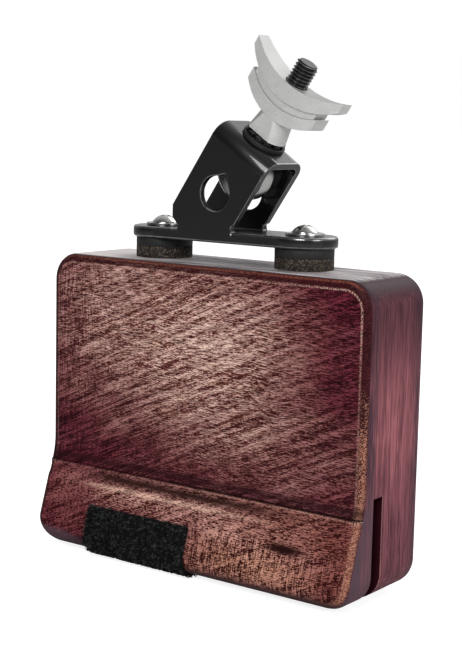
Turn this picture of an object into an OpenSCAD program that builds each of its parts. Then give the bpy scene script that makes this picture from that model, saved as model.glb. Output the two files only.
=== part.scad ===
// Woodblock on a rod clamp: a slotted hardwood block with a flared front lip,
// carried by a folded steel bracket whose eye bolt and wing nut grip a stand rod.
// Frame: X runs along the block, Y runs from front to rear, Z is up.
// The origin is the middle of the bounding box at the level of its underside.

/* [Block] */
// Length of the block along X
block_width = 138; // [110:1:180]
// Height of the block without the pad under it
block_height = 108; // [90:1:130]
// Thickness of the block from front face to rear face
block_depth = 37; // [32:0.5:50]
// Radius of the four corners seen from the front
block_corner_radius = 10; // [7:0.5:16]
// Radius of the worn edge round the front face
front_edge_radius = 3; // [1.5:0.5:4]
// Radius of the edge round the rear face
rear_edge_radius = 4.5; // [2:0.5:6]
// Height of the crease above which the front face runs straight
lip_height = 30; // [24:1:36]
// Height of the hollow above the crease
cove_height = 9; // [6:0.5:12]
// How far the hollow has come forward when it meets the crease
cove_reach = 1.4; // [1:0.1:2]
// Small ledge at the crease
crease_ledge = 0.35; // [0.2:0.05:0.6]
// Slope of the lip, in forward millimetres for each millimetre down
lip_slope = 0.31; // [0.2:0.01:0.4]
// Height of the shallow hollow under the crease
hollow_height = 5.5; // [3:0.5:8]
// Depth of the shallow hollow under the crease
hollow_depth = 0.5; // [0.3:0.1:0.8]
// Radius along the bottom front edge of the lip
lip_edge_radius = 6; // [4:0.5:8]

/* [Slot] */
// Width of the saw slot that makes the tongue
slot_width = 5.5; // [4.5:0.5:8]
// Wood left between the front face and the slot
tongue_thickness = 5.7; // [4.5:0.1:8]
// Depth of the slot, measured up from the underside
slot_height = 36.4; // [30:0.2:50]

/* [Pad] */
// Thickness of the soft pad on the bottom front edge
pad_thickness = 2; // [1:0.25:3]
// Width of the pad along X
pad_width = 46; // [30:1:60]
// Middle of the pad along X
pad_place = -21; // [-30:1:30]
// Height of the pad on the face of the lip
pad_height = 17; // [12:0.5:22]
// Bare wood left between the pad and the mouth of the slot
pad_setback = 1.5; // [0.5:0.25:3]

/* [Spacers] */
// Distance between the two screws
screw_spread = 61.4; // [56:0.2:80]
// Diameter of the cork pads and rubber washers
spacer_diameter = 20.5; // [16:0.5:24]
// Thickness of each cork pad
cork_thickness = 4.2; // [2:0.2:6]
// Thickness of each rubber washer
rubber_thickness = 3.2; // [2:0.2:6]

/* [Bracket] */
// Thickness of the foot strip of the bracket
strip_thickness = 4; // [3:0.25:5]
// Width of the foot strip between its round ends
strip_width = 21.8; // [20:0.2:24]
// Diameter of the round ends of the foot strip
strip_end_diameter = 22.8; // [20:0.2:26]
// Bevel along the edges of the foot strip
strip_bevel = 0.5; // [0.3:0.1:1]
// Sheet thickness of the stirrup
sheet_thickness = 2.5; // [2:0.1:3]
// Clear width between the two ears
ear_gap = 16.8; // [16:0.2:18]
// Width of each ear across the stud
ear_width = 25.8; // [23:0.2:28]
// Lean of the stirrup toward the right end
stirrup_lean = 34; // [28:1:36]
// Height of the ear holes above the underside of the foot strip
ear_hole_height = 17.1; // [16:0.1:20]
// Diameter of the round part of the ear holes
ear_hole_diameter = 12.4; // [10:0.2:13]
// How far the notch of the ear holes reaches from their middle
notch_reach = 8.4; // [7.5:0.1:9]
// Distance from the ear holes to the outer face of the top plate
plate_distance = 21.8; // [20.5:0.2:24]
// Outer radius of the two bends
bend_radius = 5.5; // [3.5:0.25:6]

/* [Clamp] */
// Outer diameter of the eye
eye_diameter = 20; // [18:0.2:21]
// Diameter of the rod hole in the eye
eye_hole_diameter = 12.5; // [10:0.25:13]
// Thickness of the eye along the rod
eye_thickness = 8; // [7:0.25:10]
// How far the eye is drawn up above the ear holes
eye_lift = 9.25; // [8.5:0.05:9.4]
// Nominal diameter of the threaded stud
stud_diameter = 8; // [6:1:8]
// How far the stud stands out of the saddle of the upper wing
stud_tip = 8.4; // [4:0.2:14]
// Clear width added to the diameter of a hole for a loose pin
running_clearance = 1; // [0.6:0.1:1.4]
// Clear width added to the diameter of a tapped or pilot hole
close_clearance = 0.4; // [0.2:0.05:0.6]

/* [Washers] */
// Diameter of the flat washer under the wing nut
seat_washer_diameter = 16; // [14:0.5:18]
// Thickness of the flat washer under the wing nut
seat_washer_thickness = 1.6; // [1:0.1:2]
// Diameter of the toothed washer on top of it
lock_washer_diameter = 15; // [13:0.5:16]
// Thickness of the toothed washer
lock_washer_thickness = 1.3; // [1:0.1:1.5]
// Number of teeth round the toothed washer
lock_washer_teeth = 12; // [8:1:16]
// Gap between the toothed washer and the hub of the wing nut
turning_gap = 0.3; // [0.2:0.05:0.5]

/* [Wing nut] */
// Diameter of the hub where it meets the washers
hub_base_diameter = 14.6; // [13:0.2:15]
// Diameter of the hub where it meets the wing
hub_top_diameter = 12; // [11:0.2:13]
// Height of the hub below the wing
hub_height = 7; // [5:0.5:9]
// Width of the hub across its two flats
hub_flat_width = 11; // [10:0.2:12]
// Length of the lower wing between its ends
lower_wing_length = 31.6; // [30:0.2:38]
// Height of the lower wing at its middle
lower_wing_height = 4.7; // [4:0.1:6]
// Radius of the underside of the lower wing
lower_wing_radius = 25; // [22:0.5:30]
// Radius of the hollow top of the lower wing
nest_radius = 26.7; // [24:0.1:32]
// Length of the tongue of the upper wing
nest_length = 29; // [28:0.2:36]
// Height of the tongue at its middle
nest_height = 2.9; // [2:0.1:4]
// How far the sides of the tongue stand back from the wing above
tongue_inset = 0.5; // [0.3:0.1:1]
// Length of the upper wing from tip to tip
upper_wing_length = 41.6; // [38:0.2:50]
// Height of the upper wing at its middle
upper_wing_height = 6; // [5:0.1:7]
// Radius of the underside of the upper wing
upper_wing_radius = 30; // [28:0.5:36]
// Radius of the hollow top of the upper wing
saddle_radius = 40; // [36:0.5:50]
// Depth of the wings at their middle
wing_depth = 10.4; // [10:0.2:12]
// Depth of the upper wing at its tips
wing_tip_depth = 5.6; // [4:0.2:6]

/* [Screws] */
// Diameter of the screw heads
screw_head_diameter = 9.5; // [8.5:0.1:10]
// Height of the screw heads
screw_head_height = 2.8; // [2:0.1:3]
// Diameter of the screw shanks
screw_diameter = 4.8; // [4:0.2:5]
// Length of the screws under the head
screw_length = 35; // [28:1:38]
// Diameter of the washers under the screw heads
screw_washer_diameter = 13.3; // [12:0.1:14]
// Thickness of the washers under the screw heads
screw_washer_thickness = 1; // [0.8:0.1:1.5]
// Span of the cross recess in the screw heads
recess_span = 5; // [4:0.25:6]

/* [Hidden] */
$fn = 96;

// Colours of the pieces
wood_color = [0.40, 0.18, 0.22];
pad_color = [0.07, 0.08, 0.08];
cork_color = [0.33, 0.29, 0.24];
rubber_color = [0.13, 0.14, 0.14];
bracket_color = [0.16, 0.16, 0.17];
zinc_color = [0.80, 0.80, 0.80];
oxide_color = [0.22, 0.22, 0.22];
casting_color = [0.72, 0.72, 0.72];

// Flat steps in which the pad turns round the edge
pad_steps = 14;

// Overrun of every cut past the surface it leaves
overrun = block_width / 100;
// How far the round edges of the lip run out past the ends of the block
edge_runout = overrun / 100;

// Levels and places on the block, before the shift to the frame
half_width = block_width / 2;
half_depth = block_depth / 2;
front_y = -half_depth;
slot_front = front_y + tongue_thickness;
slot_rear = slot_front + slot_width;
lip_top_y = front_y - cove_reach - crease_ledge;
lip_angle = atan(lip_slope);
// Level at which the lip face runs into its bottom rounding
lip_run_z = lip_edge_radius * (1 + sin(lip_angle));
lip_run_y = lip_top_y - lip_slope * (lip_height - lip_run_z);
lip_centre_y = lip_run_y + lip_edge_radius * cos(lip_angle);
lip_front_y = lip_centre_y - lip_edge_radius;
// Radius of the hollow that leaves the front face without a corner
cove_radius = (cove_reach * cove_reach + cove_height * cove_height) / (2 * cove_reach);
// Radius of the shallow hollow, from its half chord along the slope and its depth
hollow_chord = hollow_height / cos(lip_angle) / 2;
hollow_radius = (hollow_chord * hollow_chord + hollow_depth * hollow_depth)
    / (2 * hollow_depth);
// Depth at which the lip and the hollow join the body, halfway between the worn edge
// and the slot, and the level at which they end
root_y = front_y + (front_edge_radius + tongue_thickness) / 2;
cove_top_z = lip_height + cove_height;

// Pad: ends on the lip face and short of the slot
pad_front_y = lip_front_y - pad_thickness;
pad_end_y = slot_front - pad_setback;
pad_face_y = lip_top_y - lip_slope * (lip_height - pad_height);

// Shift from the block's own middle to the middle of the bounding box
frame_shift_y = -(pad_front_y + half_depth) / 2;
frame_lift = pad_thickness;

// Bracket levels
strip_under_z = block_height + cork_thickness + rubber_thickness;
strip_top_z = strip_under_z + strip_thickness;
hole_z = strip_under_z + ear_hole_height;
stirrup_depth = ear_gap + 2 * sheet_thickness;
half_spread = screw_spread / 2;
plate_under = plate_distance - sheet_thickness;

// Relief of the ears where they meet the foot strip
relief = sheet_thickness;
// Level over the foot strip at which the leaning edge of the ears turns upright,
// and the level of the slope above the relief, as shares of the sheet thickness
turn_share = 3.4;
slope_share = 1.6;
// Side of the notch as a share of the hole's radius
notch_share = 0.97;

// Screw levels: seat of the head, point, and bottom of the pilot hole
screw_seat_z = strip_top_z + screw_washer_thickness;
screw_point_z = screw_seat_z - screw_length;
pilot_bottom = screw_point_z - screw_diameter;
// Radius of the blunt point as a share of the shank's radius
point_share = 0.125;
// Cross recess: its depth as a share of the head's height, and its arms' width and
// its bottom as shares of its span
recess_depth_share = 0.75;
recess_arm_share = 0.2;
recess_floor_share = 0.4;

// Stations along the stud, measured from the ear holes
washer_station = plate_distance + seat_washer_thickness;
hub_station = washer_station + lock_washer_thickness + turning_gap;
wing_station = hub_station + hub_height;
nest_station = wing_station + lower_wing_height;
flange_station = nest_station + nest_height;
saddle_station = flange_station + upper_wing_height;
stud_reach = saddle_station + stud_tip;
// The eye has a flat for the stud, and the stud a spigot let into it
eye_flat_share = 0.45;
eye_edge_share = 1 / 6;
spigot_share = 0.6;
chamfer_share = 0.1;
eye_flat = eye_diameter * eye_flat_share;
eye_edge = eye_thickness * eye_edge_share;
stud_chamfer = stud_diameter * chamfer_share;
spigot_diameter = stud_diameter * spigot_share;
spigot_length = eye_flat - eye_hole_diameter / 2 - stud_chamfer;
stud_bottom = eye_lift + eye_flat;

// Notches between the teeth of the toothed washer: depth as a share of its rim, and
// width as a share of the space of one tooth
tooth_depth_share = 0.4;
tooth_gap_share = 0.35;
tooth_depth = (lock_washer_diameter - stud_diameter) / 2 * tooth_depth_share;
tooth_gap = PI * lock_washer_diameter / lock_washer_teeth * tooth_gap_share;

// Nesting gap between the two wings
nest_gap = turning_gap / 3;

// Puts a piece drawn round the block's own middle into the frame
module in_frame() {
    translate([0, frame_shift_y, frame_lift])
        children();
}

// Puts a piece drawn along the stud, with the ear holes at zero, into the frame
module on_stud() {
    in_frame()
        translate([0, 0, hole_z])
            rotate([0, stirrup_lean, 0])
                children();
}

// Runs a flat shape along Y, drawn with its own x along X and its y along Z
module along_y(length) {
    translate([0, length / 2, 0])
        rotate([90, 0, 0])
            linear_extrude(height = length)
                children();
}

// Runs a flat shape along X, drawn with its own x along Y and its y along Z
module along_x(length) {
    translate([-length / 2, 0, 0])
        rotate([90, 0, 90])
            linear_extrude(height = length)
                children();
}

// Rectangle whose front corners and rear corners have their own radii
module edged_rectangle(width, front, rear, front_radius, rear_radius) {
    half = width / 2;
    translate([-half, front + front_radius])
        square([width, rear - front - front_radius - rear_radius]);
    translate([-half + front_radius, front])
        square([width - 2 * front_radius, rear_radius + front_radius]);
    translate([-half + rear_radius, rear - rear_radius - front_radius])
        square([width - 2 * rear_radius, rear_radius + front_radius]);
    for (side = [-1, 1]) {
        translate([side * (half - front_radius), front + front_radius])
            circle(r = front_radius);
        translate([side * (half - rear_radius), rear - rear_radius])
            circle(r = rear_radius);
    }
}

// Round disc lying across Y with the same edges, for the corners of the block
module corner_disc(radius, front, rear, front_radius, rear_radius) {
    rotate([-90, 0, 0])
        rotate_extrude()
            intersection() {
                edged_rectangle(2 * radius, front, rear, front_radius, rear_radius);
                translate([0, front])
                    square([radius, rear - front]);
            }
}

// Plain block with round corners and worn edges
module block_body() {
    inner_width = block_width - 2 * block_corner_radius;
    inner_height = block_height - 2 * block_corner_radius;
    translate([0, 0, block_corner_radius])
        linear_extrude(height = inner_height)
            edged_rectangle(block_width, front_y, half_depth,
                front_edge_radius, rear_edge_radius);
    translate([0, 0, block_height / 2])
        rotate([0, 90, 0])
            translate([0, 0, -inner_width / 2])
                linear_extrude(height = inner_width)
                    edged_rectangle(block_height, front_y, half_depth,
                        front_edge_radius, rear_edge_radius);
    for (side = [-1, 1])
        for (level = [block_corner_radius, block_height - block_corner_radius])
            translate([side * inner_width / 2, 0, level])
                corner_disc(block_corner_radius, front_y, half_depth,
                    front_edge_radius, rear_edge_radius);
}

// Outline of the block seen from the front, from the underside to a level
module front_outline(level) {
    inner_width = block_width - 2 * block_corner_radius;
    translate([-half_width, block_corner_radius])
        square([block_width, level - block_corner_radius]);
    translate([-inner_width / 2, 0])
        square([inner_width, level]);
    for (side = [-1, 1])
        translate([side * inner_width / 2, block_corner_radius])
            circle(r = block_corner_radius);
}

// Side section of the lip below the crease
module lip_section() {
    polygon([[root_y, 0], [lip_centre_y, 0], [lip_centre_y, lip_edge_radius],
        [lip_run_y, lip_run_z], [lip_top_y, lip_height], [root_y, lip_height]]);
    translate([lip_centre_y, lip_edge_radius])
        circle(r = lip_edge_radius);
}

// Round cutter along the shallow hollow, which lies between a narrow land at the crease
// and a ridge below
module hollow_cutter() {
    translate([0, lip_top_y, lip_height])
        rotate([-lip_angle, 0, 0])
            translate([0, hollow_depth - hollow_radius, -hollow_chord - crease_ledge])
                rotate([0, 90, 0])
                    cylinder(r = hollow_radius, h = 2 * block_width, center = true);
}

// Hollow above the crease: the worn end edges of the front face follow it as it comes
// forward, so it is part of a ring turned round the middle of the hollow
module cove() {
    intersection() {
        translate([0, front_y - cove_radius, cove_top_z])
            rotate([0, 90, 0])
                rotate_extrude()
                    rotate([0, 0, -90])
                        edged_rectangle(block_width, cove_radius,
                            cove_radius + cove_height, front_edge_radius, front_edge_radius);
        translate([-block_width, front_y - cove_height, lip_height])
            cube([2 * block_width, root_y - front_y + cove_height, cove_height]);
    }
}

// Upright bar with worn front edges that rounds the ends of the lip
module end_bar(front, height) {
    linear_extrude(height = height)
        edged_rectangle(block_width + 2 * edge_runout, front, half_depth,
            front_edge_radius, front_edge_radius);
}

// Flared lip with its ends rounded like the block
module lip() {
    difference() {
        intersection() {
            along_x(block_width)
                lip_section();
            along_y(2 * block_width)
                front_outline(lip_height);
            translate([0, lip_top_y, lip_height])
                rotate([-lip_angle, 0, 0])
                    translate([0, -front_y, -block_height])
                        end_bar(front_y, 2 * block_height);
        }
        hollow_cutter();
    }
}

// Wooden block: sound slot open below and at both ends, pilot holes for the screws
module wood_block() {
    color(wood_color)
        in_frame()
            difference() {
                union() {
                    difference() {
                        block_body();
                        translate([-block_width, front_y - overrun, -overrun])
                            cube([2 * block_width, root_y - front_y + overrun,
                                cove_top_z + overrun]);
                    }
                    cove();
                    lip();
                }
                translate([-half_width - overrun, slot_front, -overrun])
                    cube([block_width + 2 * overrun, slot_width, slot_height + overrun]);
                for (side = [-1, 1])
                    translate([side * half_spread, 0, pilot_bottom])
                        cylinder(d = screw_diameter + close_clearance,
                            h = block_height - pilot_bottom + overrun);
            }
}

// Point at a radius and an angle round the middle of the lip's bottom rounding,
// with the angle counted forward from straight down
function lip_point(radius, angle) =
    [lip_centre_y - radius * sin(angle), lip_edge_radius - radius * cos(angle)];

// Soft pad folded round the bottom front edge of the lip: on the face, round the
// edge and under the tongue
module loop_pad() {
    turn = 90 + lip_angle;
    step = turn / pad_steps;
    outer = lip_edge_radius + pad_thickness;
    // The inner side is drawn as tangents, so that it stays clear of the round lip
    inner = lip_edge_radius / cos(step / 2);
    out_y = pad_thickness * cos(lip_angle);
    out_z = pad_thickness * sin(lip_angle);
    color(pad_color)
        in_frame()
            translate([pad_place, 0, 0])
                along_x(pad_width)
                    polygon(concat(
                        [[pad_end_y, 0], [pad_end_y, -pad_thickness]],
                        [for (i = [0:pad_steps]) lip_point(outer, i * step)],
                        [[pad_face_y - out_y, pad_height + out_z], [pad_face_y, pad_height],
                            [lip_run_y, lip_run_z]],
                        [for (i = [0:pad_steps - 1]) lip_point(inner, turn - (i + 0.5) * step)],
                        [[lip_centre_y, 0]]));
}

// Round spacer with a screw hole
module spacer(side, bottom, thickness) {
    in_frame()
        translate([side * half_spread, 0, bottom])
            difference() {
                cylinder(d = spacer_diameter, h = thickness);
                translate([0, 0, -overrun])
                    cylinder(d = screw_diameter + running_clearance,
                        h = thickness + 2 * overrun);
            }
}

// Cork pad standing on the top of the block
module cork_pad(side) {
    color(cork_color)
        spacer(side, block_height, cork_thickness);
}

// Rubber washer between cork pad and foot strip
module rubber_washer(side) {
    color(rubber_color)
        spacer(side, block_height + cork_thickness, rubber_thickness);
}

// Section of the foot strip across its length, with its bevels
module strip_section(width) {
    half = width / 2;
    polygon([[-half + strip_bevel, 0], [half - strip_bevel, 0], [half, strip_bevel],
        [half, strip_thickness - strip_bevel], [half - strip_bevel, strip_thickness],
        [-half + strip_bevel, strip_thickness], [-half, strip_thickness - strip_bevel],
        [-half, strip_bevel]]);
}

// Foot strip with round ends and bevelled edges
module foot_strip() {
    translate([0, 0, strip_under_z])
        along_x(screw_spread)
            strip_section(strip_width);
    for (side = [-1, 1])
        translate([side * half_spread, 0, strip_under_z])
            rotate_extrude()
                intersection() {
                    strip_section(strip_end_diameter);
                    square([strip_end_diameter, strip_thickness]);
                }
}

// Section of the stirrup across the stud: two ears and the top plate
module stirrup_section() {
    inner_radius = bend_radius - sheet_thickness;
    foot = -2 * ear_hole_height;
    difference() {
        union() {
            translate([-stirrup_depth / 2, foot])
                square([stirrup_depth, plate_distance - bend_radius - foot]);
            translate([-stirrup_depth / 2 + bend_radius, 0])
                square([stirrup_depth - 2 * bend_radius, plate_distance]);
            for (side = [-1, 1])
                translate([side * (stirrup_depth / 2 - bend_radius), plate_distance - bend_radius])
                    circle(r = bend_radius);
        }
        translate([-ear_gap / 2, foot - overrun])
            square([ear_gap, plate_under - inner_radius - foot + overrun]);
        translate([-ear_gap / 2 + inner_radius, 0])
            square([ear_gap - 2 * inner_radius, plate_under]);
        for (side = [-1, 1])
            translate([side * (ear_gap / 2 - inner_radius), plate_under - inner_radius])
                circle(r = inner_radius);
    }
}

// Ear hole: a circle with a square notch toward the stud that centres a rod
module ear_hole_shape() {
    radius = ear_hole_diameter / 2;
    circle(r = radius);
    intersection() {
        rotate([0, 0, 45])
            square(radius * notch_share);
        circle(r = notch_reach);
    }
}

// Outline of the ears seen from the front, with the reliefs at their feet
module ear_outline() {
    lean_sin = sin(stirrup_lean);
    lean_cos = cos(stirrup_lean);
    half = ear_width / 2;
    // Height of the strip top below the ear holes
    drop = ear_hole_height - strip_thickness;
    // Level at which the left edge turns upright
    turn = -drop + turn_share * sheet_thickness;
    left_x = (turn - half * lean_sin) / lean_cos * lean_sin - half * lean_cos;
    right_low = -drop + sheet_thickness;
    right_x = (right_low + half * lean_sin) / lean_cos * lean_sin + half * lean_cos;
    top_x = plate_distance * lean_sin;
    top_z = plate_distance * lean_cos;
    polygon([
        [left_x + relief, -drop - strip_thickness / 2],
        [left_x + relief, -drop + relief / 2],
        [left_x, -drop + slope_share * relief],
        [left_x, turn],
        [top_x - half * lean_cos, top_z + half * lean_sin],
        [top_x + half * lean_cos, top_z - half * lean_sin],
        [right_x, right_low],
        [right_x - relief / 2, right_low - relief / 4],
        [right_x - relief / 2, -drop - strip_thickness / 2]]);
}

// Stirrup leaning over the foot strip
module stirrup() {
    intersection() {
        translate([0, 0, hole_z])
            rotate([0, stirrup_lean, 0])
                difference() {
                    along_x(ear_width * 2)
                        stirrup_section();
                    along_y(stirrup_depth * 2)
                        ear_hole_shape();
                    cylinder(d = stud_diameter + running_clearance,
                        h = plate_distance + overrun);
                }
        translate([0, 0, hole_z])
            along_y(stirrup_depth * 2)
                ear_outline();
    }
}

// Bracket: foot strip and folded stirrup joined flush by welds
module mount_bracket() {
    color(bracket_color)
        in_frame()
            difference() {
                union() {
                    foot_strip();
                    stirrup();
                }
                for (side = [-1, 1])
                    translate([side * half_spread, 0, strip_under_z - overrun])
                        cylinder(d = screw_diameter + running_clearance,
                            h = strip_thickness + 2 * overrun);
            }
}

// Cross recess that narrows toward its floor
module cross_recess() {
    depth = screw_head_height * recess_depth_share;
    arm = recess_span * recess_arm_share;
    translate([0, 0, screw_head_height - depth])
        intersection() {
            cylinder(d1 = recess_span * recess_floor_share, d2 = recess_span, h = depth);
            union() {
                translate([-recess_span, -arm / 2, -overrun])
                    cube([2 * recess_span, arm, depth + 2 * overrun]);
                translate([-arm / 2, -recess_span, -overrun])
                    cube([arm, 2 * recess_span, depth + 2 * overrun]);
            }
        }
}

// Screw with a domed head, a straight shank and a point
module screw(side) {
    radius = screw_diameter / 2;
    head_radius = screw_head_diameter / 2;
    dome = (head_radius * head_radius + screw_head_height * screw_head_height)
        / (2 * screw_head_height);
    color(zinc_color)
        in_frame()
            translate([side * half_spread, 0, screw_seat_z]) {
                difference() {
                    rotate_extrude()
                        intersection() {
                            translate([0, screw_head_height - dome])
                                circle(r = dome);
                            square([head_radius, screw_head_height]);
                        }
                    cross_recess();
                }
                translate([0, 0, screw_diameter - screw_length])
                    cylinder(r = radius, h = screw_length - screw_diameter);
                translate([0, 0, -screw_length])
                    cylinder(r1 = radius * point_share, r2 = radius, h = screw_diameter);
            }
}

// Washer between screw head and foot strip
module screw_washer(side) {
    color(zinc_color)
        in_frame()
            translate([side * half_spread, 0, strip_top_z])
                difference() {
                    cylinder(d = screw_washer_diameter, h = screw_washer_thickness);
                    translate([0, 0, -overrun])
                        cylinder(d = screw_diameter + close_clearance,
                            h = screw_washer_thickness + 2 * overrun);
                }
}

// Eye that pulls the rod into the notches of the ears
module clamp_eye() {
    color(zinc_color)
        on_stud()
            translate([0, 0, eye_lift])
                difference() {
                    corner_disc(eye_diameter / 2, -eye_thickness / 2, eye_thickness / 2,
                        eye_edge, eye_edge);
                    along_y(eye_thickness + 2 * overrun)
                        circle(d = eye_hole_diameter);
                    translate([-eye_diameter / 2, -eye_diameter / 2, eye_flat])
                        cube([eye_diameter, eye_diameter, eye_diameter / 2]);
                    translate([0, 0, eye_flat - spigot_length])
                        cylinder(d = spigot_diameter, h = spigot_length + overrun);
                }
}

// Threaded stud with its spigot in the eye and a chamfered tip, turned from one profile
module threaded_stud() {
    radius = stud_diameter / 2;
    spigot = spigot_diameter / 2;
    color(oxide_color)
        on_stud()
            rotate_extrude()
                polygon([[0, stud_bottom - spigot_length],
                    [spigot, stud_bottom - spigot_length], [spigot, stud_bottom],
                    [radius, stud_bottom], [radius, stud_reach - stud_chamfer],
                    [radius - stud_chamfer, stud_reach], [0, stud_reach]]);
}

// Plain ring on the stud
module stud_ring(diameter, station, thickness) {
    on_stud()
        translate([0, 0, station])
            difference() {
                cylinder(d = diameter, h = thickness);
                translate([0, 0, -overrun])
                    cylinder(d = stud_diameter + running_clearance,
                        h = thickness + 2 * overrun);
            }
}

// Flat washer on the top plate
module seat_washer() {
    color(rubber_color)
        stud_ring(seat_washer_diameter, plate_distance, seat_washer_thickness);
}

// Washer with teeth round its rim, under the wing nut
module lock_washer() {
    color(oxide_color)
        difference() {
            stud_ring(lock_washer_diameter, washer_station, lock_washer_thickness);
            on_stud()
                for (i = [0:lock_washer_teeth - 1])
                    rotate([0, 0, i * 360 / lock_washer_teeth])
                        translate([lock_washer_diameter / 2 - tooth_depth, -tooth_gap / 2,
                            washer_station - overrun])
                            cube([2 * tooth_depth, tooth_gap,
                                lock_washer_thickness + 2 * overrun]);
        }
}

// Plan of a wing seen along the stud: widest at the middle, narrow at the tips
module wing_plan(length, inset) {
    half_length = upper_wing_length / 2;
    bulge = (wing_depth - wing_tip_depth) / 2;
    arc_radius = (half_length * half_length + bulge * bulge) / (2 * bulge);
    intersection() {
        translate([0, arc_radius - wing_depth / 2])
            circle(r = arc_radius - inset, $fn = 4 * $fn);
        translate([0, wing_depth / 2 - arc_radius])
            circle(r = arc_radius - inset, $fn = 4 * $fn);
        translate([-length / 2, -wing_depth])
            square([length, 2 * wing_depth]);
    }
}

// Side of a wing: between a lower arc and an upper arc, each given by its lowest point
module wing_side(low, low_radius, high, high_radius) {
    difference() {
        translate([0, low + low_radius])
            circle(r = low_radius, $fn = 2 * $fn);
        translate([0, high + high_radius])
            circle(r = high_radius, $fn = 2 * $fn);
    }
}

// Wing with a curved side and a curved plan
module wing(length, inset, low, low_radius, high, high_radius) {
    intersection() {
        along_y(2 * wing_depth)
            wing_side(low, low_radius, high, high_radius);
        translate([0, 0, hub_station])
            linear_extrude(height = stud_reach)
                wing_plan(length, inset);
    }
}

// Wing nut: tapered hub with two flats and the lower wing
module wing_nut() {
    color(casting_color)
        on_stud()
            difference() {
                union() {
                    intersection() {
                        translate([0, 0, hub_station])
                            cylinder(d1 = hub_base_diameter, d2 = hub_top_diameter,
                                h = hub_height + nest_gap);
                        translate([-hub_base_diameter, -hub_flat_width / 2, hub_station])
                            cube([2 * hub_base_diameter, hub_flat_width, 2 * hub_height]);
                    }
                    wing(lower_wing_length, 0, wing_station, lower_wing_radius,
                        nest_station, nest_radius);
                }
                cylinder(d = stud_diameter + close_clearance, h = 2 * stud_reach);
            }
}

// Upper wing: a tongue that nests in the wing nut, and the long saddle above it
module wing_cap() {
    tongue_radius = nest_radius - nest_gap;
    color(casting_color)
        on_stud()
            difference() {
                union() {
                    wing(nest_length, tongue_inset, nest_station + nest_gap, tongue_radius,
                        flange_station + nest_gap, upper_wing_radius);
                    wing(upper_wing_length, 0, flange_station, upper_wing_radius,
                        saddle_station, saddle_radius);
                }
                cylinder(d = stud_diameter + close_clearance, h = 2 * stud_reach);
            }
}

wood_block();
loop_pad();
cork_pad(-1);  // left_cork_pad
cork_pad(1);  // right_cork_pad
rubber_washer(-1);  // left_rubber_washer
rubber_washer(1);  // right_rubber_washer
mount_bracket();
screw(-1);  // left_screw
screw(1);  // right_screw
screw_washer(-1);  // left_screw_washer
screw_washer(1);  // right_screw_washer
clamp_eye();
threaded_stud();
seat_washer();
lock_washer();
wing_nut();
wing_cap();
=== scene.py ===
import math
from types import SimpleNamespace

import bpy
import numpy as np
from mathutils import Matrix, Vector


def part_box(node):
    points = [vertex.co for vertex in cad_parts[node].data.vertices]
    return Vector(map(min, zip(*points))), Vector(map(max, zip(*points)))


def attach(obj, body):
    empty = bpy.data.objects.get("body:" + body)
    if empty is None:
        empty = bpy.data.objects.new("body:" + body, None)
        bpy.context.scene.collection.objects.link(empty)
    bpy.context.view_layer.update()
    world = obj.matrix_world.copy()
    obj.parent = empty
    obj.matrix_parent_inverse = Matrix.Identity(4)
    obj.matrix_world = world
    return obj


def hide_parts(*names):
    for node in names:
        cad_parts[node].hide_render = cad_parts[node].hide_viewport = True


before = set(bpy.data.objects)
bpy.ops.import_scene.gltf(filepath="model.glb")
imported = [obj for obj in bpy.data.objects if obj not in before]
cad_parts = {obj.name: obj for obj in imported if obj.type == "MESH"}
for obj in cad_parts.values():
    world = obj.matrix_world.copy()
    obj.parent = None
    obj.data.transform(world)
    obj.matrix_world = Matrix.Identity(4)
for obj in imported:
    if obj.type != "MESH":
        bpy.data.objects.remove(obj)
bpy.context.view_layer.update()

# Studio: a white sweep with the block standing on it, lit by large soft boxes.
# The camera stands low, in front of the lip and to its right, as in the photograph.
AIM = Vector((0.0002, 0.0055, 0.0885))
AZIMUTH = math.radians(36.44)
ELEVATION = math.radians(7.865)
ROLL = math.radians(1.292)
DISTANCE = 0.5175
FOCAL_PIXELS = 1455.0
IMAGE_HEIGHT = 645.0
SENSOR_HEIGHT = 36.0
NEAREST = 0.01


def placed(name, data):
    """Object with this data, in the scene."""
    thing = bpy.data.objects.new(name, data)
    bpy.context.collection.objects.link(thing)
    return thing


toward_camera = Vector((math.sin(AZIMUTH) * math.cos(ELEVATION),
                        -math.cos(AZIMUTH) * math.cos(ELEVATION),
                        math.sin(ELEVATION)))
level_right = Vector((math.cos(AZIMUTH), math.sin(AZIMUTH), 0.0))
level_up = toward_camera.cross(level_right)
camera_x = math.cos(ROLL) * level_right + math.sin(ROLL) * level_up
camera_y = math.cos(ROLL) * level_up - math.sin(ROLL) * level_right
camera_data = bpy.data.cameras.new("camera")
camera_data.sensor_fit = "VERTICAL"
camera_data.sensor_height = SENSOR_HEIGHT
camera_data.lens = FOCAL_PIXELS / IMAGE_HEIGHT * SENSOR_HEIGHT
camera_data.clip_start = NEAREST
camera = placed("camera", camera_data)
camera.matrix_world = Matrix((
    (camera_x.x, camera_y.x, toward_camera.x, AIM.x + DISTANCE * toward_camera.x),
    (camera_x.y, camera_y.y, toward_camera.y, AIM.y + DISTANCE * toward_camera.y),
    (camera_x.z, camera_y.z, toward_camera.z, AIM.z + DISTANCE * toward_camera.z),
    (0.0, 0.0, 0.0, 1.0)))
scene = bpy.context.scene
scene.camera = camera
scene.view_settings.view_transform = "Standard"


def linear(code):
    """sRGB hex colour as linear values: each channel through the sRGB curve."""
    srgb = [int(code[i:i + 2], 16) / 255 for i in (0, 2, 4)]
    return [c / 12.92 if c <= 0.04045 else ((c + 0.055) / 1.055) ** 2.4 for c in srgb] + [1.0]


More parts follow.
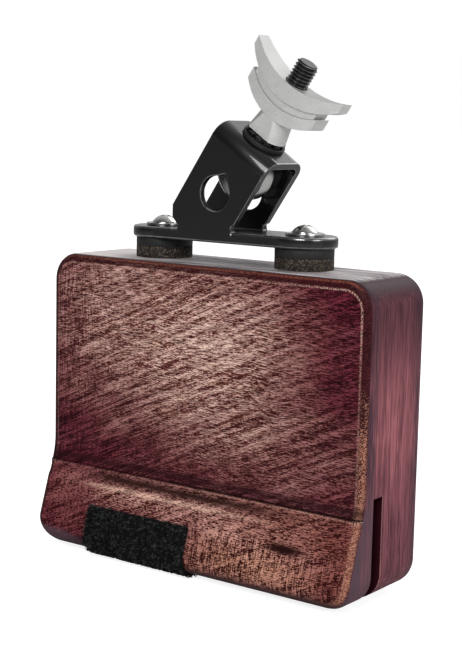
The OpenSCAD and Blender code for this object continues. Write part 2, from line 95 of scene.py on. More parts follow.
def add(tree, kind, settings=None, **links):
    """Adds a node. settings are its properties, and links its inputs, as a value or as
    another node's output socket. An input named with a digit, such as _0, is a number."""
    node = tree.nodes.new("ShaderNode" + kind)
    for name, value in (settings or {}).items():
        setattr(node, name, value)
    for name, value in links.items():
        key = int(name[1:]) if name[1:].isdigit() else name.replace("_", " ")
        if isinstance(value, bpy.types.NodeSocket):
            tree.links.new(value, node.inputs[key])
        else:
            node.inputs[key].default_value = value
    return node


def new_material(name):
    """Empty node material with its surface shader and output."""
    material = bpy.data.materials.new(name)
    material.use_nodes = True
    tree = material.node_tree
    tree.nodes.clear()
    shader = add(tree, "BsdfPrincipled")
    add(tree, "OutputMaterial", Surface=shader.outputs[0])
    return material, tree, shader


def set_shader(shader, **values):
    """Sets numbers and colours on the surface shader's own sockets."""
    for name, value in values.items():
        shader.inputs[name.replace("_", " ")].default_value = value


WALL_LIGHT = 0.45
CEILING_LIGHT = 0.9
WALL_WAY, CEILING_WAY = -0.2, 0.9
DARK_SIDE = 0.04
DARK_WAY, BRIGHT_WAY = -0.5, 0.6


def studio_world():
    """White room: it shows white behind the block, and it lights the block softly from
    above, less from the front, where the dark side of the studio is."""
    world = bpy.data.worlds.new("studio")
    world.use_nodes = True
    tree = world.node_tree
    tree.nodes.clear()
    way = add(tree, "SeparateXYZ", Vector=add(tree, "TexCoord").outputs["Generated"]).outputs
    from_above = add(tree, "MapRange", Value=way[2], From_Min=WALL_WAY, From_Max=CEILING_WAY,
                     To_Min=WALL_LIGHT, To_Max=CEILING_LIGHT).outputs[0]
    from_rear = add(tree, "MapRange", Value=way[1], From_Min=DARK_WAY, From_Max=BRIGHT_WAY,
                    To_Min=DARK_SIDE, To_Max=1.0).outputs[0]
    strength = add(tree, "Math", {"operation": "MULTIPLY"}, _0=from_above, _1=from_rear).outputs[0]
    seen = add(tree, "LightPath").outputs["Is Camera Ray"]
    strength = add(tree, "Mix", {"data_type": "FLOAT"}, _0=seen, _2=strength, _3=1.0).outputs[0]
    light = add(tree, "Background", Color=(1.0, 1.0, 1.0, 1.0), Strength=strength)
    add(tree, "OutputWorld", Surface=light.outputs[0])
    return world


scene.world = studio_world()


def soft_box(name, place, size, power):
    """Square area light that faces the middle of the block."""
    data = bpy.data.lights.new(name, "AREA")
    data.shape = "SQUARE"
    data.size = size
    data.energy = power
    light = placed(name, data)
    light.location = place
    light.rotation_euler = (Vector(place) - AIM).to_track_quat("Z", "Y").to_euler()


soft_box("key_box", place=(0.3, -1.0, 0.8), size=0.5, power=10.0)
soft_box("right_box", place=(1.0, -0.25, 0.45), size=0.5, power=3.5)
soft_box("rear_box", place=(0.2, 0.9, 0.9), size=0.8, power=6.0)

FLOOR_REACH = 30.0
FLOOR_GREY = 0.55
FLOOR_GLOW = 0.85
floor_mesh = bpy.data.meshes.new("floor")
floor_corners = [(-FLOOR_REACH, -FLOOR_REACH, 0), (FLOOR_REACH, -FLOOR_REACH, 0),
                 (FLOOR_REACH, FLOOR_REACH, 0), (-FLOOR_REACH, FLOOR_REACH, 0)]
floor_mesh.from_pydata(floor_corners, [], [(0, 1, 2, 3)])
floor = placed("floor", floor_mesh)
paper, paper_tree, paper_shader = new_material("white_paper")
set_shader(paper_shader, Base_Color=(FLOOR_GREY, FLOOR_GREY, FLOOR_GREY, 1.0), Roughness=0.95,
           Specular_IOR_Level=0.0, Emission_Color=(1.0, 1.0, 1.0, 1.0))
paper_seen = add(paper_tree, "LightPath").outputs["Is Camera Ray"]
paper_glow = add(paper_tree, "Math", {"operation": "MULTIPLY"}, _0=paper_seen, _1=FLOOR_GLOW).outputs[0]
paper_tree.links.new(paper_glow, paper_shader.inputs["Emission Strength"])
floor_mesh.materials.append(paper)

# Wood block: one piece of hardwood with a flared playing lip and a saw slot behind it.
# It is stained burgundy, brushed so that the fibres show pale, and rubbed through
# at the edges, then sealed with a thin satin lacquer.
MM = 0.001
HALF_WIDTH = 69.0
BLOCK_HEIGHT = 108.0
BLOCK_DEPTH = 37.0
CORNER_RADIUS = 10.0
FRONT_EDGE = 3.0
REAR_EDGE = 4.5
CREASE_Z = 30.0
COVE_HEIGHT = 9.0
COVE_REACH = 1.4
CREASE_LEDGE = 0.35
LIP_SLOPE = 0.31
HOLLOW_HEIGHT = 5.5
HOLLOW_DEPTH = 0.5
LIP_EDGE = 6.0
SLOT_FRONT = 5.7
SLOT_WIDTH = 5.5
SLOT_HEIGHT = 36.4
block_low, block_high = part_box("wood_block")
BLOCK_BOTTOM = block_low.z / MM
REAR_Y = block_high.y / MM
FRONT_Y = REAR_Y - BLOCK_DEPTH


def lip_section(z):
    """How far the front of the block lies forward of its flat face at height z, without
    its bottom rounding: a circular cove, a ledge at the crease, and a slope in which a
    shallow circular hollow lies between a narrow land and a ridge."""
    cove_radius = (COVE_REACH ** 2 + COVE_HEIGHT ** 2) / (2 * COVE_REACH)
    drop = np.clip(CREASE_Z + COVE_HEIGHT - z, 0, COVE_HEIGHT)
    cove = cove_radius - np.sqrt(cove_radius ** 2 - drop ** 2)
    below = np.clip(CREASE_Z - z, 0, None)
    slant = math.atan(LIP_SLOPE)
    half = HOLLOW_HEIGHT / math.cos(slant) / 2
    hollow_radius = (half ** 2 + HOLLOW_DEPTH ** 2) / (2 * HOLLOW_DEPTH)
    off_middle = np.clip(below / math.cos(slant) - CREASE_LEDGE - half, -half, half)
    hollow = np.sqrt(hollow_radius ** 2 - off_middle ** 2) - hollow_radius + HOLLOW_DEPTH
    slope = CREASE_LEDGE + LIP_SLOPE * below - hollow / math.cos(slant)
    return cove + np.where(z < CREASE_Z, slope, 0)


def edge_drop(inset, radius):
    """Quarter-round edge: how far the surface falls back at a distance from the outline."""
    left = np.clip(radius - inset, 0, radius)
    return radius - np.sqrt(radius ** 2 - left ** 2)


def lip_edge_drop(inset):
    """The bottom rounding of the lip, a circle that touches the slope and the underside."""
    slant = math.atan(LIP_SLOPE)
    run = LIP_EDGE * (1 + math.sin(slant))
    run_reach = LIP_SLOPE * run
    centre = run_reach + LIP_EDGE * math.cos(slant)
    inset = np.clip(inset, 0, run)
    circle = centre - np.sqrt(LIP_EDGE ** 2 - (LIP_EDGE - inset) ** 2)
    return circle - LIP_SLOPE * inset


NOT_ZERO = 1e-9


def round_corners(u, v, half_u, half_v, radius):
    """Turns a grid with square corners into one with round corners. In each corner the
    larger offset is the distance from the corner's centre and their ratio the angle.
    Returns the new u and v, the inset from the outline, and the turn toward the v side."""
    du = np.clip(np.abs(u) - half_u + radius, 0, None)
    dv = np.clip(np.abs(v) - half_v + radius, 0, None)
    reach = np.maximum(du, dv)
    safe = np.maximum(reach, NOT_ZERO)
    eighth = math.pi / 4
    turn = np.where(du >= dv, eighth * dv / safe, 2 * eighth - eighth * du / safe)
    corner = (du > 0) & (dv > 0)
    new_u = np.where(corner, half_u - radius + reach * np.cos(turn), np.abs(u)) * np.sign(u)
    new_v = np.where(corner, half_v - radius + reach * np.sin(turn), np.abs(v)) * np.sign(v)
    inset = np.minimum(half_u - np.abs(u), half_v - np.abs(v))
    side = np.where(half_u - np.abs(u) <= half_v - np.abs(v), 0.0, 1.0)
    return new_u, new_v, inset, np.where(corner, turn / (2 * eighth), side)


EDGE_BAND = 8.0
EDGE_LINES = 9
GRID_STEP = 1.3
SAME_LINE_DIGITS = 4


def grid_lines(half, extra=()):
    """Places of grid lines across the face: close together on the worn edges, as the
    squares of even steps, then a grid step apart, and the extra ones."""
    edge = np.linspace(0, 1, EDGE_LINES) ** 2 * EDGE_BAND
    inner_lines = int((2 * half - 2 * EDGE_BAND) / GRID_STEP)
    inner = np.linspace(-half + EDGE_BAND, half - EDGE_BAND, inner_lines)
    lines = np.concatenate([-half + edge, inner, half - edge, extra])
    return np.unique(np.round(lines, SAME_LINE_DIGITS))


def join_sheets(front, rear, bands):
    """Closed skin from two grids of points and the bands that join their outlines. The
    grids have one shape, front faces -Y and rear +Y, and bands are rows of outline points."""
    rows, columns = front.shape[:2]
    count = rows * columns
    ids = np.arange(count).reshape(rows, columns)
    a, b, c, d = ids[:-1, :-1], ids[:-1, 1:], ids[1:, 1:], ids[1:, :-1]
    face = np.stack([a, b, c, d], -1).reshape(-1, 4)
    ring = np.concatenate([ids[0, :-1], ids[:-1, -1], ids[-1, :0:-1], ids[:0:-1, 0]])
    rings = [ring] + [2 * count + i * len(ring) + np.arange(len(ring)) for i in range(len(bands))]
    rings.append(ring + count)
    sides = []
    for near, far in zip(rings[:-1], rings[1:]):
        sides.append(np.stack([np.roll(near, -1), near, far, np.roll(far, -1)], -1))
    points = np.concatenate([front.reshape(-1, 3), rear.reshape(-1, 3), bands.reshape(-1, 3)])
    return points, np.concatenate([face, (face + count)[:, ::-1]] + sides).tolist()


def mesh_object(name, points, faces):
    """Smooth mesh object from points in millimetres and lists of the faces' corners."""
    mesh = bpy.data.meshes.new(name)
    mesh.from_pydata((points * MM).tolist(), [], faces)
    mesh.polygons.foreach_set("use_smooth", np.ones(len(faces), bool))
    return placed(name, mesh)


def ring_order(grid):
    """The outline of a grid of points, in the order in which join_sheets goes round."""
    return np.concatenate([grid[0, :-1], grid[:-1, -1], grid[-1, :0:-1], grid[:0:-1, 0]])


def ease(value, low, high):
    """Smooth step from 0 at low to 1 at high."""
    share = np.clip((value - low) / (high - low), 0, 1)
    return share * share * (3 - 2 * share)


# Heights of extra grid lines: at the knot, from the crest to the crease, and up the
# cove. Two lines lie a hair apart at the crease, which keeps it crisp.
CREASE_HAIR = 0.02
KNOT_LINES = np.linspace(13.0, 22.0, 13)
HOLLOW_LINES = np.linspace(23.0, CREASE_Z - CREASE_HAIR, 24)
COVE_LINES = np.linspace(CREASE_Z + CREASE_HAIR, CREASE_Z + COVE_HEIGHT, 14)
SIDE_BANDS = 20

half_height = BLOCK_HEIGHT / 2
across = grid_lines(HALF_WIDTH)
extra_heights = np.concatenate([KNOT_LINES, HOLLOW_LINES, COVE_LINES])
upward = grid_lines(half_height, extra_heights - half_height)
grid_u, grid_v = np.meshgrid(across, upward)
face_x, face_v, inset, turn = round_corners(grid_u, grid_v, HALF_WIDTH, half_height, CORNER_RADIUS)
face_z = face_v + half_height
at_bottom = ease(np.where(grid_v < 0, turn, 0.0), 0, 1)
front_y = (FRONT_Y - lip_section(face_z) + (1 - at_bottom) * edge_drop(inset, FRONT_EDGE)
           + at_bottom * lip_edge_drop(inset))
rear_y = REAR_Y - edge_drop(inset, REAR_EDGE)
front_grid = np.stack([face_x, front_y, face_z + BLOCK_BOTTOM], -1)
rear_grid = np.stack([face_x, rear_y, face_z + BLOCK_BOTTOM], -1)
near_ring, far_ring = ring_order(front_grid), ring_order(rear_grid)
shares = np.linspace(0, 1, SIDE_BANDS + 2)[1:-1, None, None]
skin_points, skin_faces = join_sheets(front_grid, rear_grid, near_ring + shares * (far_ring - near_ring))
block = mesh_object("stained_block", skin_points, skin_faces)

SAW_OVERRUN = 2
BLOCK_SHARP = math.radians(35)
slot_low = np.array([-HALF_WIDTH - SAW_OVERRUN, FRONT_Y + SLOT_FRONT, BLOCK_BOTTOM - SAW_OVERRUN])
slot_high = np.array([HALF_WIDTH + SAW_OVERRUN, FRONT_Y + SLOT_FRONT + SLOT_WIDTH,
                      BLOCK_BOTTOM + SLOT_HEIGHT])
corner = np.array([[0, 0, 0], [1, 0, 0], [1, 1, 0], [0, 1, 0], [0, 0, 1], [1, 0, 1], [1, 1, 1], [0, 1, 1]])
cutter = mesh_object("slot_cutter", slot_low + corner * (slot_high - slot_low), [
    [3, 2, 1, 0], [4, 5, 6, 7], [0, 1, 5, 4], [1, 2, 6, 5], [2, 3, 7, 6], [3, 0, 4, 7]])


def apply_modifiers(piece):
    """Replaces the piece's mesh by the one that its modifiers give."""
    graph = bpy.context.evaluated_depsgraph_get()
    mesh = bpy.data.meshes.new_from_object(piece.evaluated_get(graph), depsgraph=graph)
    piece.modifiers.clear()
    piece.data = mesh


cut = block.modifiers.new("slot", "BOOLEAN")
cut.operation = "DIFFERENCE"
cut.object = cutter
cut.solver = "EXACT"
apply_modifiers(block)
bpy.data.objects.remove(cutter)
block.data.set_sharp_from_angle(angle=BLOCK_SHARP)


def points_of(mesh):
    """All vertices of a mesh as an array, in millimetres."""
    flat = np.empty(len(mesh.vertices) * 3, np.float32)
    mesh.vertices.foreach_get("co", flat)
    return flat.reshape(-1, 3) / MM


def set_attribute(mesh, name, values):
    """Stores one number for each vertex."""
    attribute = mesh.attributes.new(name, "FLOAT", "POINT")
    attribute.data.foreach_set("value", values.astype(np.float32))


def hill(place):
    """Smooth rise on the front of the block, as strong as it says at its middle: a bell
    curve across and up, each as wide as its spread."""
    strength, middle, spread = place
    far_across = (block_x - middle[0]) / spread[0]
    far_up = (block_z - middle[1]) / spread[1]
    return strength * np.exp(-far_across ** 2 / 2 - far_up ** 2 / 2)


block_x, block_y, block_z = points_of(block.data).T
block_z = block_z - BLOCK_BOTTOM
over_u = np.abs(block_x) - HALF_WIDTH + CORNER_RADIUS
over_v = np.abs(block_z - half_height) - half_height + CORNER_RADIUS
outside = np.hypot(np.clip(over_u, 0, None), np.clip(over_v, 0, None))
set_attribute(block.data, "inset", CORNER_RADIUS - outside - np.minimum(np.maximum(over_u, over_v), 0))
front_depth = block_y - FRONT_Y + lip_section(block_z)
set_attribute(block.data, "front_depth", front_depth)

# Worn places: strength, middle and spread, the last two across and up the front in
# millimetres. The stain is rubbed pale in the upper middle and the upper left corner,
# faintly over the crease, and on the lip over the pad and round the knot.
UPPER_PATCH = (0.9, (5, 80), (28, 22))
UPPER_LEFT = (0.45, (-48, 88), (22, 24))
OVER_CREASE = (0.24, (40, 45), (32, 14))
OVER_PAD = (0.38, (-12, 22.5), (25, 5))
ROUND_KNOT = (0.34, (30, 12), (19, 9))
BARE_FOOT = (0.9, (30, 9), (22, 5))
LOW_CORNER = (0.7, (56, 6), (12, 5))
TOP_CORNER = (0.65, (62, 98), (14, 10))
KNOT = (1.0, (42, 16.9), (6.0, 1.3))
RIGHT_THIRD, UPPER_HALF, WHOLE_STAIN = (30, 58), (50, 70), 0.12
LIP_RUB, LIP_END, LIP_END_STAIN = 0.12, (50, 66), 0.25
LIP_RIGHT, LIP_RIGHT_BARE, FACE_BARE = (-10, 40), 0.35, 0.12
MARK_DEPTH = 12.0
FRONT_STRIP = FRONT_EDGE + 1
OFF_FRONT_RUB = 0.3
RIGHT_EDGE, RIGHT_WEAR, LIP_WEAR, LEFT_WEAR = (92, 40), 0.72, 0.2, 0.12
RIDGE_START, RIDGE_WEAR, LEFT_RIDGE_WEAR, RIDGE_FOOT = -60, 0.35, 0.2, CREASE_Z - 2

on_lip = block_z < CREASE_Z
marked = front_depth < MARK_DEPTH
face_rub = (hill(UPPER_PATCH) + hill(UPPER_LEFT) + hill(OVER_CREASE)
            - WHOLE_STAIN * ease(block_x, *RIGHT_THIRD) * ease(block_z, *UPPER_HALF))
lip_rub = LIP_RUB + hill(OVER_PAD) + hill(ROUND_KNOT) - LIP_END_STAIN * ease(block_x, *LIP_END)
rub = np.where(on_lip, lip_rub, face_rub)
set_attribute(block.data, "rub", np.where(front_depth < FRONT_STRIP, rub, OFF_FRONT_RUB))
bare_lip = np.maximum(hill(BARE_FOOT), LIP_RIGHT_BARE * ease(block_x, *LIP_RIGHT))
set_attribute(block.data, "bare", np.where(on_lip, bare_lip, FACE_BARE * face_rub) * marked)
right_wear = ease(block_z, *RIGHT_EDGE) * (RIGHT_WEAR + LIP_WEAR * on_lip)
edge_wear = np.maximum(np.where(block_x > 0, right_wear, LEFT_WEAR), hill(LOW_CORNER))
set_attribute(block.data, "edge_wear", edge_wear)
ridge_wear = np.where(block_x > RIDGE_START, RIDGE_WEAR + hill(TOP_CORNER), LEFT_RIDGE_WEAR)
set_attribute(block.data, "ridge_wear", ridge_wear * (block_z > RIDGE_FOOT))
set_attribute(block.data, "knot", hill(KNOT) * marked)


def scaled(tree, value, factor, added):
    """The value times a factor, and something added. Where a constant holds the two, they
    are what the value adds when it is 1, and what is there when it is 0."""
    return add(tree, "Math", {"operation": "MULTIPLY_ADD"}, _0=value, _1=factor, _2=added).outputs[0]


def less(tree, value, taken):
    """The value with another one taken off."""
    return add(tree, "Math", {"operation": "SUBTRACT"}, _0=value, _1=taken).outputs[0]


def away(tree, value, middle):
    """How far the value is from the middle, on either side."""
    return add(tree, "Math", {"operation": "ABSOLUTE"}, _0=less(tree, value, middle)).outputs[0]


def larger(tree, first, second):
    """The larger one of two values."""
    return add(tree, "Math", {"operation": "MAXIMUM"}, _0=first, _1=second).outputs[0]


def blend(tree, share, first, second):
    """The first value where share is 0, and the second where it is 1."""
    return scaled(tree, less(tree, second, first), share, first)


def nudged(tree, value, pattern, strength):
    """The value moved up and down by a noise, whose mean is one half."""
    return scaled(tree, less(tree, pattern, 0.5), strength, value)


def span(tree, value, low, high):
    """Smooth step from 0 at low to 1 at high; low may be the larger one."""
    return add(tree, "MapRange", {"interpolation_type": "SMOOTHSTEP"},
               Value=value, From_Min=low, From_Max=high).outputs[0]


def line(tree, value, middle, half):
    """1 at the middle, falling smoothly to 0 at half a width on either side."""
    return span(tree, away(tree, value, middle), half, 0.0)


def times(tree, *factors):
    """Product of several values."""
    product = factors[0]
    for factor in factors[1:]:
        product = add(tree, "Math", {"operation": "MULTIPLY"}, _0=product, _1=factor).outputs[0]
    return product


def paint(tree, share, under, over):
    """Colour under, covered by the colour over as far as share says. Each colour is an
    sRGB hex value or another node's output."""
    under, over = (linear(colour) if isinstance(colour, str) else colour for colour in (under, over))
    return add(tree, "Mix", {"data_type": "RGBA"}, _0=share, _6=under, _7=over).outputs[2]


def noise(tree, place, size, turn=(0.0, 0.0, 0.0), detail=3.0, roughness=0.6):
    """Noise whose patches have this size along each axis, in the unit of place."""
    mapped = add(tree, "Mapping", {"vector_type": "TEXTURE"},
                 Vector=place, Scale=size, Rotation=turn).outputs[0]
    return add(tree, "TexNoise", Vector=mapped, Scale=1.0, Detail=detail,
               Roughness=roughness).outputs[0]


def in_mm(tree):
    """Object coordinates in millimetres."""
    place = add(tree, "TexCoord").outputs["Object"]
    return add(tree, "VectorMath", {"operation": "SCALE"}, _0=place, Scale=1 / MM).outputs[0]


def stored(tree, name):
    """A number stored in the mesh."""
    return add(tree, "Attribute", {"attribute_name": name}).outputs["Fac"]


def bump(tree, shader, height, millimetres):
    """Small relief: height from 0 to 1 stands for this many millimetres."""
    node = add(tree, "Bump", Height=height, Strength=1.0, Distance=millimetres * MM)
    tree.links.new(node.outputs[0], shader.inputs["Normal"])


SPECK_SIZE = (0.5, 0.5, 0.45)
SPECK_SHARE = (0.42, 0.60)
FRONT_REACH = (3.6, 3.2)
MARK_FADE = 2.0
CREASE_BLUR = 0.2
SWAY_SIZE, SWAY = (18.0, 30.0, 40.0), 2.6


def on_block(tree):
    """What the wood's patterns go by: where a point lies, in millimetres, how far it is
    from the outline and behind the front, the place with the sway of the brush's way
    added, and fine specks that break up every edge."""
    spot = SimpleNamespace(place=in_mm(tree), inset=stored(tree, "inset"), depth=stored(tree, "front_depth"))
    spot.x, spot.y, z = add(tree, "SeparateXYZ", Vector=spot.place).outputs
    spot.level = less(tree, z, BLOCK_BOTTOM)
    spot.at_front = span(tree, spot.depth, *FRONT_REACH)
    spot.in_front = span(tree, spot.depth, MARK_DEPTH, MARK_DEPTH - MARK_FADE)
    below_crease = span(tree, spot.level, CREASE_Z + CREASE_BLUR, CREASE_Z - CREASE_BLUR)
    spot.on_lip = times(tree, below_crease, spot.in_front)
    sway = nudged(tree, 0.0, noise(tree, spot.place, SWAY_SIZE, detail=1.0), SWAY)
    sway = add(tree, "CombineXYZ", Z=sway).outputs[0]
    spot.swayed = add(tree, "VectorMath", {"operation": "ADD"}, _0=spot.place, _1=sway).outputs[0]
    spot.specks = noise(tree, spot.place, SPECK_SIZE, detail=2.0)
    spot.speck = span(tree, spot.specks, *SPECK_SHARE)
    return spot


# Brush strokes: length, depth and height of the marks in millimetres. The real ones are
# finer, and are drawn as coarse as they need to show.
STRAND_SIZE = (5.0, 1.2, 0.17)
TICK_SIZE = (1.2, 0.8, 0.17)
SLANT_SIZE = (9.0, 1.5, 0.23)
HATCH_SIZE = (0.4, 1.5, 5.0)
CHATTER_SIZE = (30.0, 12.0, 1.7)
SLANT_TURN = (0.0, math.radians(-24), 0.0)
SLANT_PATCH, PATCH_EDGE, PATCH_SLANT = (34.0, 34.0, 20.0), (0.48, 0.60), 0.5
LOW_LEFT_X, LOW_LEFT_Z, LOW_LEFT_SLANT = (20.0, -40.0), (85.0, 50.0), 0.8
TICK_SHARE, HATCH_SHARE, CHATTER = (0.2, 0.42), (0.4, 0.06), 0.24
LEFT_HATCH_X, LEFT_HATCH = (-30.0, -60.0), 0.5
FOOT_HATCH_Z, FOOT_HATCH_X = (20.0, 14.0), (-10.0, 10.0)
STROKE_CONTRAST, STROKE_MIDDLE = (0.45, 1.0), (-0.003, 0.5)


def brush_strokes(tree, spot):
    """Noise drawn out along the way of the brush: level strands, slanting ones in patches
    and at the lower left, short ticks, the brush's chatter, and a little cross hatching."""
    strands = noise(tree, spot.swayed, STRAND_SIZE, detail=1.0, roughness=0.5)
    ticks = noise(tree, spot.swayed, TICK_SIZE, detail=1.0, roughness=0.5)
    slants = noise(tree, spot.place, SLANT_SIZE, turn=SLANT_TURN, detail=1.0, roughness=0.5)
    chatter = noise(tree, spot.place, CHATTER_SIZE, turn=SLANT_TURN, detail=1.0, roughness=0.5)
    hatch = noise(tree, spot.place, HATCH_SIZE, detail=1.0)
    low_left = times(tree, span(tree, spot.x, *LOW_LEFT_X), span(tree, spot.level, *LOW_LEFT_Z),
                     LOW_LEFT_SLANT)
    patch = span(tree, noise(tree, spot.place, SLANT_PATCH, detail=1.0), *PATCH_EDGE)
    slanted = larger(tree, low_left, times(tree, patch, PATCH_SLANT))
    strokes = blend(tree, slanted, strands, slants)
    strokes = blend(tree, scaled(tree, spot.on_lip, *TICK_SHARE), strokes, ticks)
    strokes = nudged(tree, strokes, chatter, CHATTER)
    at_left = times(tree, span(tree, spot.x, *LEFT_HATCH_X), LEFT_HATCH)
    at_foot = times(tree, span(tree, spot.level, *FOOT_HATCH_Z), span(tree, spot.x, *FOOT_HATCH_X))
    hatched = scaled(tree, larger(tree, at_left, at_foot), *HATCH_SHARE)
    strokes = nudged(tree, strokes, hatch, hatched)
    return nudged(tree, scaled(tree, spot.on_lip, *STROKE_MIDDLE), strokes,
                  scaled(tree, spot.on_lip, *STROKE_CONTRAST))


BRUSHED = (0.415, 0.625)
CLOUD_SIZE, CLOUD, RUBBED = (18.0, 18.0, 9.0), 0.5, (-0.1, 1.1)
WARM_PATCH, WARM = (12.0, 12.0, 6.0), (0.5, 0.7)
FLASH, FLASH_SHARE = (0.51, 0.58), (0.75, 0.5)
SCRATCH_SIZE, SCRATCH, SCRATCH_SHARE = (9.0, 2.0, 0.32), (0.60, 0.72), 0.6
DEEP, DEEP_RUBBED, DEEP_LIP, DEEP_BARE = "1a0208", "3f0f12", "340a0c", "2e0e0a"
PALE, PALE_LIP, PALE_BARE = "641c2a", "ab5048", "ac6648"
RUBBED_ROSE, RUBBED_TAN = "c46c64", "cf8560"
BRIGHT, BRIGHT_RUBBED, BRIGHT_BARE, BRIGHT_LIP = "8a3c4c", "ffe2d2", "e0ab90", "eca68e"
LIP_STAIN, LIP_FIBRE, LIP_FLASH = 0.5, 0.75, 0.6
BARE_STAIN, BARE_FIBRE, BARE_FLASH = 0.7, 0.7, 0.9


def brushed_front(tree, spot, strokes, brushed):
    """Deep stain between the fibres, pale fibres and single bright ones. Each has a colour
    where the stain is whole, and others on rubbed wood, on the lip and on bare wood."""
    cloud = noise(tree, spot.place, CLOUD_SIZE, detail=2.0)
    rubbed = span(tree, nudged(tree, stored(tree, "rub"), cloud, CLOUD), *RUBBED)
    rubbed_lip = times(tree, spot.on_lip, rubbed)
    bare = stored(tree, "bare")
    deep = paint(tree, rubbed, DEEP, DEEP_RUBBED)
    deep = paint(tree, times(tree, spot.on_lip, LIP_STAIN), deep, DEEP_LIP)
    deep = paint(tree, times(tree, bare, BARE_STAIN), deep, DEEP_BARE)
    warm = span(tree, noise(tree, spot.place, WARM_PATCH, detail=3.0), *WARM)
    pale = paint(tree, rubbed, PALE, paint(tree, warm, RUBBED_ROSE, RUBBED_TAN))
    pale = paint(tree, times(tree, rubbed_lip, LIP_FIBRE), pale, PALE_LIP)
    pale = paint(tree, times(tree, bare, BARE_FIBRE), pale, PALE_BARE)
    bright = paint(tree, rubbed, BRIGHT, BRIGHT_RUBBED)
    bright = paint(tree, times(tree, bare, BARE_FLASH), bright, BRIGHT_BARE)
    bright = paint(tree, times(tree, rubbed_lip, LIP_FLASH), bright, BRIGHT_LIP)
    scratches = span(tree, noise(tree, spot.swayed, SCRATCH_SIZE, detail=1.0, roughness=0.5), *SCRATCH)
    flash = larger(tree, span(tree, strokes, *FLASH), times(tree, scratches, rubbed, SCRATCH_SHARE))
    flash = times(tree, flash, scaled(tree, rubbed, *FLASH_SHARE))
    return paint(tree, flash, paint(tree, brushed, deep, pale), bright)


# Edges of the front, by the distance from the outline in millimetres
ROUNDED, ROUNDED_SHARE = (3.0, 2.5), 0.85
SPECK_WEAR, WEAR_PATCH, PATCH_WEAR, WORN = 1.3, (3.0, 3.0, 7.0), 1.0, (0.3, 0.75)
WORN_INSIDE, WORN_OUTSIDE = (3.3, 2.2), (0.2, 1.0)
RIDGE_INSET, RIDGE_HALF = 3.3, 0.6
TOP_INSET, TOP_HALF, TOP_Z, TOP_LEFT_X = 0.9, 0.6, (104.0, 106.0), (-62.0, -30.0)
TOP_ENDS, TOP_SHARE = (0.6, 0.4), 0.7
EDGE_STAIN, EDGE_SPECK, WORN_BROWN, WORN_TAN = "1c070b", "43191c", "693830", "b4806c"
RIDGE_PALE, TOP_BROWN, TOP_TAN = "e9bfae", "5c2a24", "945844"


def worn_edges(tree, spot, front):
    """Over the front: the dark rounded edge, tan wood where it is worn through, a pale
    line on the ridge inside it, and a brown line along the top."""
    rounded = times(tree, span(tree, spot.inset, *ROUNDED), spot.at_front, ROUNDED_SHARE)
    front = paint(tree, rounded, front, paint(tree, spot.speck, EDGE_STAIN, EDGE_SPECK))
    worn = nudged(tree, stored(tree, "edge_wear"), spot.specks, SPECK_WEAR)
    worn = nudged(tree, worn, noise(tree, spot.place, WEAR_PATCH, detail=2.0), PATCH_WEAR)
    worn = times(tree, span(tree, worn, *WORN), span(tree, spot.inset, *WORN_INSIDE),
                 span(tree, spot.inset, *WORN_OUTSIDE), spot.at_front)
    front = paint(tree, worn, front, paint(tree, spot.speck, WORN_BROWN, WORN_TAN))
    ridge = times(tree, line(tree, spot.inset, RIDGE_INSET, RIDGE_HALF), spot.at_front,
                  stored(tree, "ridge_wear"), spot.speck)
    front = paint(tree, ridge, front, RIDGE_PALE)
    along_top = scaled(tree, span(tree, spot.x, *TOP_LEFT_X), *TOP_ENDS)
    along_top = times(tree, line(tree, spot.inset, TOP_INSET, TOP_HALF), span(tree, spot.level, *TOP_Z),
                      spot.at_front, along_top, TOP_SHARE)
    return paint(tree, along_top, front, paint(tree, spot.speck, TOP_BROWN, TOP_TAN))


# Marks along the lip: height over the underside, half width, share and colour
COVE_SHADE = (32.4, 2.8, 0.75, "220c10")
CREASE_SHADE = (30.3, 0.7, 1.0, "120506")
LEDGE_GLEAM = (29.5, 0.5, 0.75, "d9ab98")
HOLLOW_SHADE = (27.2, 2.8, 0.95, "2a1512")
CREST_GLEAM = (24.0, 1.3, 1.0, "f8cdb8")
UNEVEN_SIZE, UNEVEN = (9.0, 9.0, 3.0), 0.9
CREASE_X, CREASE_ENDS = (-75.0, 20.0), (0.35, 0.65)
LEDGE_X, LEDGE_ENDS = (-40.0, 30.0), (0.75, 0.25)
HOLLOW_ENDS = (-60.0, -32.0), (60.0, 10.0)
CREST_ENDS = (-56.0, -30.0), (45.0, -5.0)
CREST_SHARE = (0.75, 0.2)
KNOT_EDGE, KNOT_BROWN = (0.08, 0.9), "260c0b"
FOOT_X, FOOT_RISE, FOOT_Z, FOOT_SHARE = (-38.0, -58.0), 3.0, (4.2, 2.0), 0.8
# Colours of the foot: painted shade, and a painted sheen of the floor's light at the left
FOOT_SHADE, FOOT_SHEEN = "38282f", "5c4852"


def lip_mark(tree, spot, front, mark, level, *shares):
    """Over the front: one mark along the lip, as strong as the product of its shares."""
    height, half, share, colour = mark
    here = times(tree, line(tree, level, height, half), spot.in_front, share, *shares)
    return paint(tree, here, front, colour)


